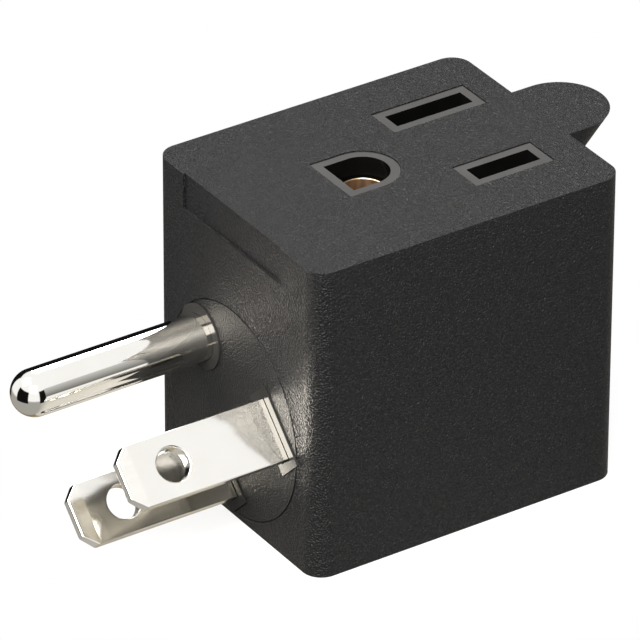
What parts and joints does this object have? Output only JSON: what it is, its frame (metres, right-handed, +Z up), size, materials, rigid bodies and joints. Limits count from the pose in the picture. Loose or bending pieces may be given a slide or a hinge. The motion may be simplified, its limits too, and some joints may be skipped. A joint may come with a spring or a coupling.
{
  "type": "right angle plug adapter",
  "caption": "Black right angle outlet adapter: grounded plug turned 45 degrees on one side, grounded outlet on top, pull tab at the back.",
  "frame": {"origin": "centre of the round pad on the plug face, in the plane of the pad", "axes": "+Z up out of the outlet face, -Y out of the plug face along the pins, +Y towards the pull tab, +X completes the right-handed set"},
  "size_m": [0.0282, 0.0639, 0.0339],
  "materials": {
    "grained_black": "fine spark-eroded grain",
    "smooth_black": "smooth moulded",
    "nickel_plate": "bright nickel plate on brass",
    "brass": "stamped",
    "phosphor_bronze": "rolled spring bronze"
  },
  "bodies": {
    "root": {"jacket": "grained_black", "outlet_block": "smooth_black", "plug_block": "smooth_black", "pin_retainer": "smooth_black", "contact_cover": "smooth_black", "ground_pin": "nickel_plate", "line_blade": "nickel_plate", "neutral_blade": "nickel_plate", "ground_contact": "phosphor_bronze", "line_contact": "phosphor_bronze", "neutral_contact": "phosphor_bronze", "line_strap": "brass", "neutral_strap": "brass", "line_rivet_1": "brass", "line_rivet_2": "brass", "neutral_rivet_1": "brass", "neutral_rivet_2": "brass"}
  },
  "joints": []
}
